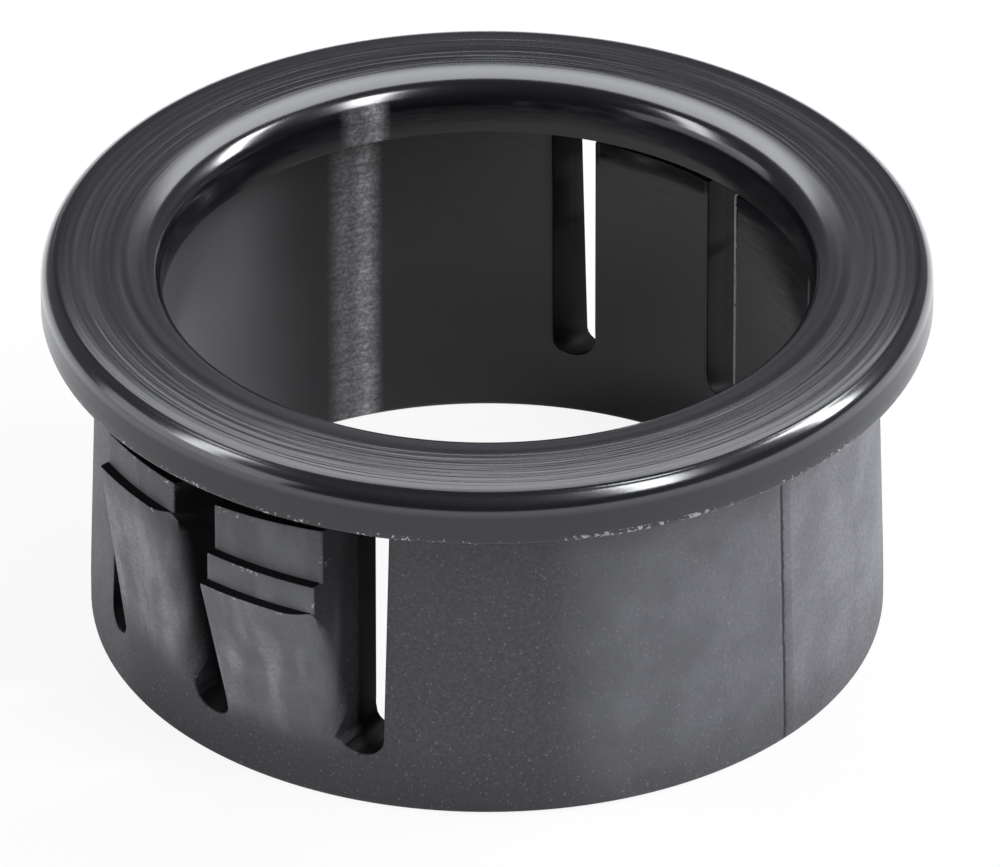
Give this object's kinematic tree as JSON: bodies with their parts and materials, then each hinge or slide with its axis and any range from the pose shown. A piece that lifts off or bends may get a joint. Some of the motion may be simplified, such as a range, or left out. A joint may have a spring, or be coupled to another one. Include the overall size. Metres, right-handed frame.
{
  "type": "knockout bushing",
  "caption": "Flanged snap-in bushing that lines a round knockout hole in a panel with a smooth lip for cables, held by stepped spring fingers in its slotted barrel.",
  "frame": {"origin": "centre of the barrel's end, on the surface that the bushing stands on", "axes": "+Z along the cable's way, from the barrel's end to the flange; the finger pairs are on +X and -X"},
  "size_m": [0.0248, 0.0248, 0.0113],
  "materials": {
    "black_nylon": "black moulded nylon, satin on the flange and fine-grained on the barrel"
  },
  "bodies": {
    "root": {"bushing": "black_nylon"}
  },
  "joints": []
}
